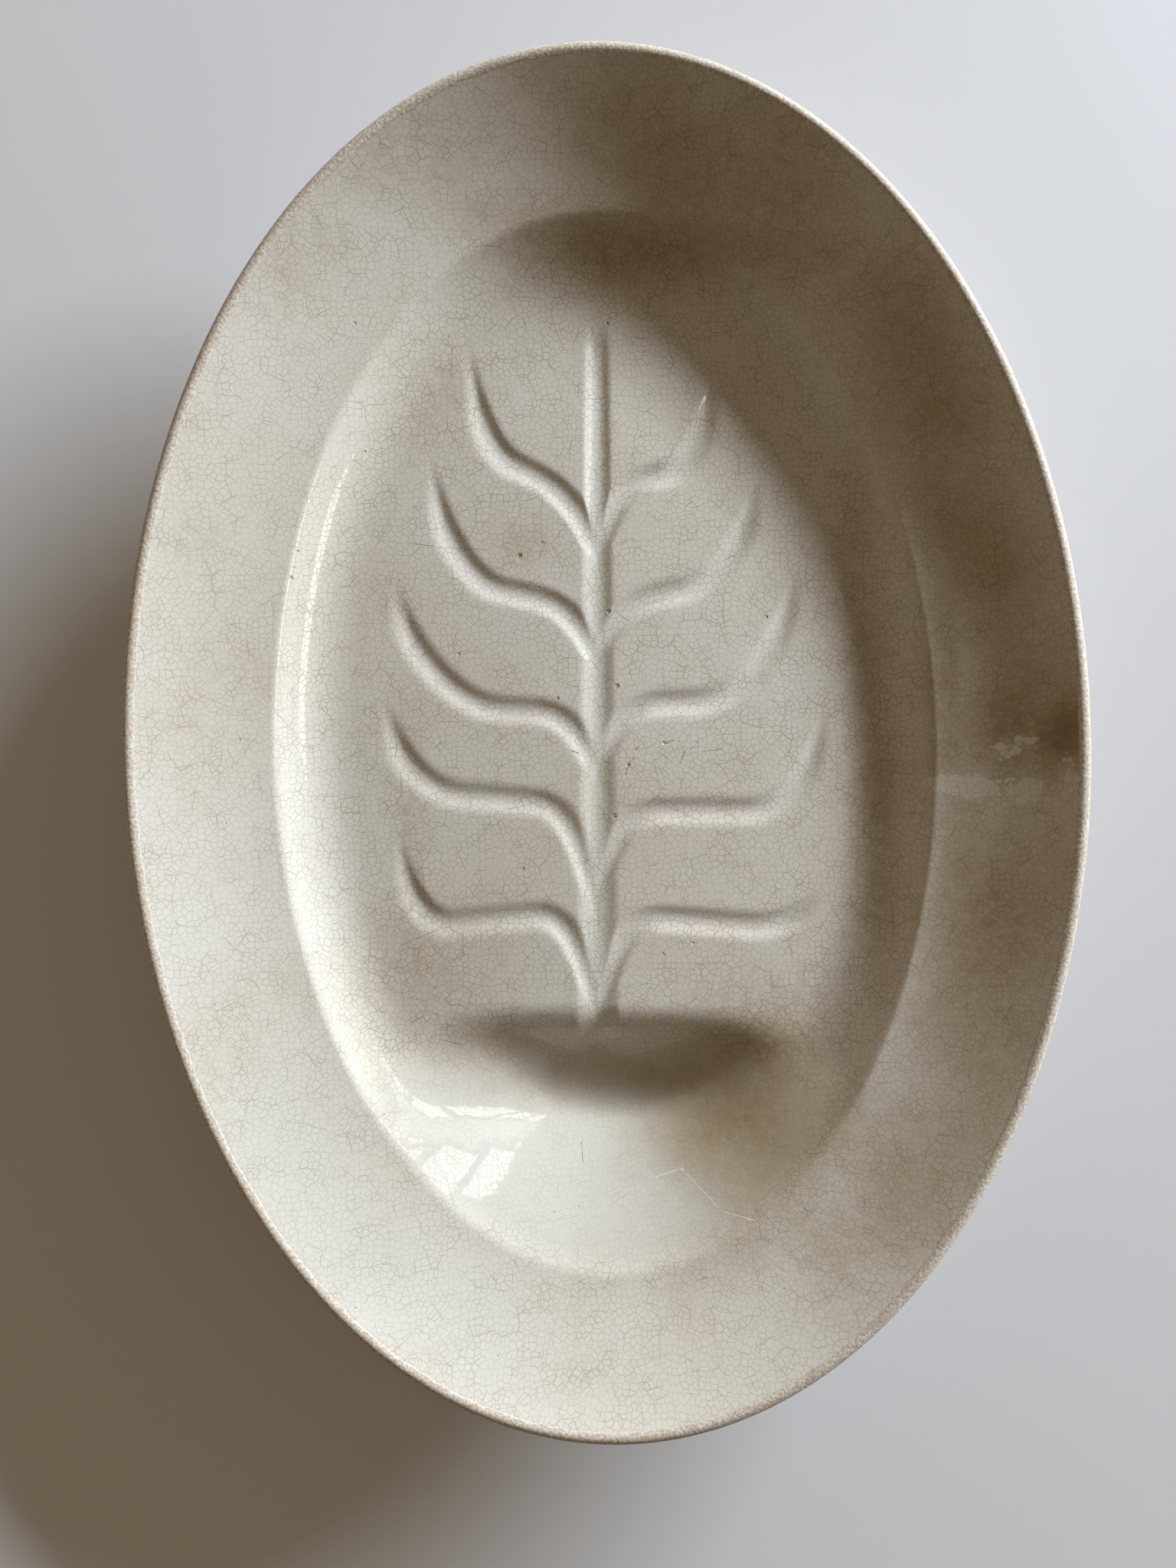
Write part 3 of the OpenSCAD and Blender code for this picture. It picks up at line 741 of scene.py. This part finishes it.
def chip_marks(b, place):
    """How much of a chip a point is in, and how dark the pit is there."""
    ragged = b.vector("SUBTRACT", b.noise(place, CHIP_SCALE, field="Color"), MIDDLE)
    ragged = b.vector("SCALE", ragged, scale=CHIP_RAGGED)
    away = b.vector("ADD", b.carried("chip", "Vector"), ragged)
    chip = b.spread(b.vector("LENGTH", away), 0.6, 0.95, 1.0, 0.0)
    pit = b.vector("LENGTH", b.vector("SUBTRACT", away, PIT_AT))
    return chip, b.spread(pit, 0.3, 0.6, 1.0, 0.0)


def hair_marks(b, place):
    """How much of a knife mark or hair crack a point is in, and how pale it is."""
    wander = b.noise(place, MARK_SCALE)
    axes = b.add("SeparateXYZ", {0: b.carried("mark", "Vector")}).outputs
    middle = b.math("SUBTRACT", axes["Y"], MARK_WANDER / 2)
    across = b.math("MULTIPLY_ADD", wander, MARK_WANDER, middle)
    inside = b.spread(b.math("ABSOLUTE", across), 0.4, 1.0, 1.0, 0.0)
    length = b.spread(b.math("ABSOLUTE", axes["X"]), 0.7, 1.0, 1.0, 0.0)
    faint = b.spread(wander, 0.35, 0.6, 0.5, 1.0)
    return b.math("MULTIPLY", b.math("MULTIPLY", inside, length), faint), axes["Z"]


def finish_glaze(b, shader, colour, rough, height):
    """Puts colour, roughness, bump and the index of glaze on a shader."""
    b.put(shader["Base Color"], colour)
    b.put(shader["Roughness"], rough)
    bump = b.add("Bump", {"Height": height, "Distance": 1.0, "Strength": 1.0})
    b.put(shader["Normal"], bump.outputs["Normal"])
    b.put(shader["IOR"], GLAZE_IOR)


def platter_glaze(crazing, soaked, ripple, clay):
    material, b, shader = new_material("platter_glaze")
    place = b.carried("skin", "Vector")
    craze = b.group(crazing, {"Place": place, "Cell": CELL, "Line": LINE, "Net": b.carried("net")})
    stain = b.group(
        soaked,
        {
            "Place": place,
            "Amount": b.carried("stain"),
            "Flake": b.carried("flake"),
            "Lines": craze["Lines"],
            "Tint": craze["Tint"],
        },
    )
    waves = b.group(ripple, {"Place": place})
    raw = b.group(clay, {"Place": place})
    colour = glaze_colour(b, place, stain, craze, b.carried("pool_and_shade"), b.carried("channel_light"))

    specks = b.cells(place, SPECK_SCALE, 1.0, "F1")
    chosen = b.spread(b.add("SeparateColor", {0: specks["Color"]}).outputs[1], 0.80, 0.82)
    speck = b.math("MULTIPLY", b.spread(specks["Distance"], 0.008, 0.016, 1.0, 0.0), chosen)
    colour = b.blend(b.math("MULTIPLY", speck, SPECK_COVER), colour, SPECK_BROWN)

    mark, pale = hair_marks(b, place)
    tone = b.blend(pale, MARK_BROWN, MARK_PALE)
    colour = b.blend(b.math("MULTIPLY", mark, MARK_COVER), colour, tone)
    chip, pit = chip_marks(b, place)
    tone = b.blend(pit, CHIP_BUFF, CHIP_BROWN)
    colour = b.blend(b.math("MULTIPLY", chip, CHIP_COVER), colour, tone)

    worn = b.math("MULTIPLY_ADD", raw["Patch"], 0.9, b.carried("lip"))
    worn = b.math("MAXIMUM", b.spread(worn, 0.98, 1.30), b.carried("bare"))
    colour = b.blend(worn, colour, raw["Colour"])

    rough = b.spread(waves["Gloss"], 0.3, 0.75, *PLATTER_ROUGH)
    rough = b.math("MULTIPLY_ADD", craze["Lines"], CRACK_ROUGH, rough)
    rough = b.math("MULTIPLY_ADD", chip, CHIP_ROUGH, rough)
    rough = b.math("MULTIPLY_ADD", worn, CLAY_ROUGH, rough, clamp=True)

    height = waves["Height"]
    for dent, depth in ((craze["Lines"], CRACK_DEPTH), (chip, CHIP_DEPTH), (mark, MARK_DEPTH)):
        height = b.math("MULTIPLY_ADD", dent, -depth, height)
    height = b.math("MULTIPLY_ADD", worn, raw["Height"], height)
    finish_glaze(b, shader, colour, rough, height)
    return material


def foot_glaze(crazing, soaked, ripple, clay):
    material, b, shader = new_material("foot_glaze")
    # The net of cracks is flat, so height is leaned into its plane for the foot's upright sides
    spot = b.add("SeparateXYZ", {0: b.add("TexCoord").outputs["Object"]}).outputs
    lean_x = b.math("MULTIPLY_ADD", spot["Z"], FOOT_LEAN_X, spot["X"])
    lean_y = b.math("MULTIPLY_ADD", spot["Z"], FOOT_LEAN_Y, spot["Y"])
    place = b.add("CombineXYZ", {"X": lean_x, "Y": lean_y, "Z": spot["Z"]}).outputs[0]
    craze = b.group(crazing, {"Place": place, "Cell": CELL, "Line": LINE, "Net": NET_UNDER})
    stain = b.group(
        soaked,
        {"Place": place, "Amount": FOOT_STAIN, "Lines": craze["Lines"], "Tint": craze["Tint"]},
    )
    waves = b.group(ripple, {"Place": place})
    raw = b.group(clay, {"Place": place})
    worn = b.spread(b.math("MULTIPLY_ADD", raw["Patch"], 0.5, b.carried("bare")), 0.55, 1.0)
    colour = b.blend(worn, glaze_colour(b, place, stain, craze), raw["Colour"])
    rough = b.spread(waves["Gloss"], 0.3, 0.75, *FOOT_ROUGH)
    rough = b.math("MULTIPLY_ADD", worn, CLAY_ROUGH, rough, clamp=True)
    height = b.math("MULTIPLY_ADD", worn, raw["Height"], waves["Height"])
    finish_glaze(b, shader, colour, rough, height)
    return material


def table_paint():
    material, b, shader = new_material("table_paint")
    place = b.add("TexCoord").outputs["Object"]
    drift = b.noise(place, TABLE_SCALE, 4.0)
    b.put(shader["Base Color"], b.blend(drift, TABLE_DULL, TABLE_PALE))
    b.put(shader["Roughness"], TABLE_ROUGH)
    return material


def place_piece(name, mesh, material, node):
    piece = bpy.data.objects.new(name, mesh)
    bpy.context.scene.collection.objects.link(piece)
    mesh.materials.append(material)
    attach(piece, "root")
    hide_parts(node)


finishes = crazing_group(), stain_group(), ripple_group(), clay_group()
glaze, foot_finish = platter_glaze(*finishes), foot_glaze(*finishes)
place_piece("platter", make_body(), glaze, "platter_body")
place_piece("left_foot", make_foot(-1), foot_finish, "foot_left")
place_piece("right_foot", make_foot(1), foot_finish, "foot_right")

# Table, light and camera

TABLE_HALF, TABLE_Z = 4.0, -0.0002
WINDOW_TURN, WINDOW_HEIGHT = math.radians(39), math.radians(16.8)
WINDOW_AWAY, WINDOW_WIDE, WINDOW_TALL, WINDOW_POWER = 3.2, 2.2, 0.277, 222.0
WINDOW_TINT, ROOM_TINT = (0.82, 0.90, 1.0), (1.0, 0.77, 0.51, 1)
# Light of the room at eye level, its gain towards the back and its loss towards the ceiling
ROOM_LEVEL, ROOM_BACK, ROOM_FALL = 0.30, 0.10, 0.17
# Panes that only show as reflections in the glaze: name, turn, lowest and highest elevation, half
# spread, glow
PANES = [
    ("sky_pane_left", 20.0, 55.0, 57.2, 3.15, 6.5),
    ("sky_pane_middle", 28.0, 55.0, 57.2, 3.15, 6.5),
    ("sky_pane_right", 36.0, 55.0, 57.2, 3.15, 6.5),
    ("low_pane_left", 23.5, 51.5, 54.7, 7.2, 2.6),
    ("low_pane_right", 38.5, 51.5, 54.7, 7.2, 2.6),
    ("side_pane", -2.0, 41.0, 50.0, 5.0, 6.0),
]
LENS_LENGTH, SENSOR_WIDTH = 27.05, 36.0
CAMERA_AT, CAMERA_TURN = (0.00592, -0.01686, 0.43405), (0.369, 1.58, -1.475)


def make_table():
    signs = (-1, -1), (1, -1), (1, 1), (-1, 1)
    corners = [(x * TABLE_HALF, y * TABLE_HALF, TABLE_Z) for x, y in signs]
    mesh = bpy.data.meshes.new("table")
    mesh.from_pydata(corners, [], [(0, 1, 2, 3)])
    mesh.materials.append(table_paint())
    table = bpy.data.objects.new("table", mesh)
    bpy.context.scene.collection.objects.link(table)


def hang_lamp(name, turn, height, wide, tall, power):
    """A flat lamp at the window's distance that faces the dish from this turn and elevation."""
    lamp = bpy.data.lights.new(name, "AREA")
    lamp.shape, lamp.size, lamp.size_y, lamp.energy = "RECTANGLE", wide, tall, power
    hung = bpy.data.objects.new(name, lamp)
    level = WINDOW_AWAY * math.cos(height)
    hung.location = level * math.cos(turn), level * math.sin(turn), WINDOW_AWAY * math.sin(height)
    hung.rotation_euler = math.pi / 2 - height, 0, math.pi / 2 + turn
    bpy.context.scene.collection.objects.link(hung)
    return hung


def make_pane(name, turn, low, high, spread, glow):
    height = math.radians((low + high) / 2)
    wide = 2 * WINDOW_AWAY * math.cos(height) * math.tan(math.radians(spread))
    tall = 2 * WINDOW_AWAY * math.tan(math.radians((high - low) / 2))
    pane = hang_lamp(name, math.radians(turn), height, wide, tall, glow * math.pi * wide * tall)
    pane.visible_diffuse = False


def make_light():
    """A wide low window to the right and behind, and a warm room that fills the shade."""
    window = hang_lamp(
        "window", WINDOW_TURN, WINDOW_HEIGHT, WINDOW_WIDE, WINDOW_TALL, WINDOW_POWER
    )
    window.data.color = WINDOW_TINT
    world = bpy.data.worlds.new("room")
    world.use_nodes = True
    b = Bench(world.node_tree)
    background = world.node_tree.nodes["Background"].inputs
    way = b.add("SeparateXYZ", {0: b.add("TexCoord").outputs["Generated"]}).outputs
    b.put(background["Color"], ROOM_TINT)
    low = b.math("MULTIPLY_ADD", way["Y"], ROOM_BACK, ROOM_LEVEL)
    b.put(background["Strength"], b.math("MULTIPLY_ADD", way["Z"], -ROOM_FALL, low))
    bpy.context.scene.world = world


def make_camera():
    lens = bpy.data.cameras.new("camera")
    lens.lens, lens.sensor_width = LENS_LENGTH, SENSOR_WIDTH
    camera = bpy.data.objects.new("camera", lens)
    camera.location = CAMERA_AT
    camera.rotation_euler = [math.radians(angle) for angle in CAMERA_TURN]
    bpy.context.scene.collection.objects.link(camera)
    bpy.context.scene.camera = camera


make_table()
make_light()
for pane in PANES:
    make_pane(*pane)
make_camera()
bpy.context.scene.view_settings.view_transform = "Standard"
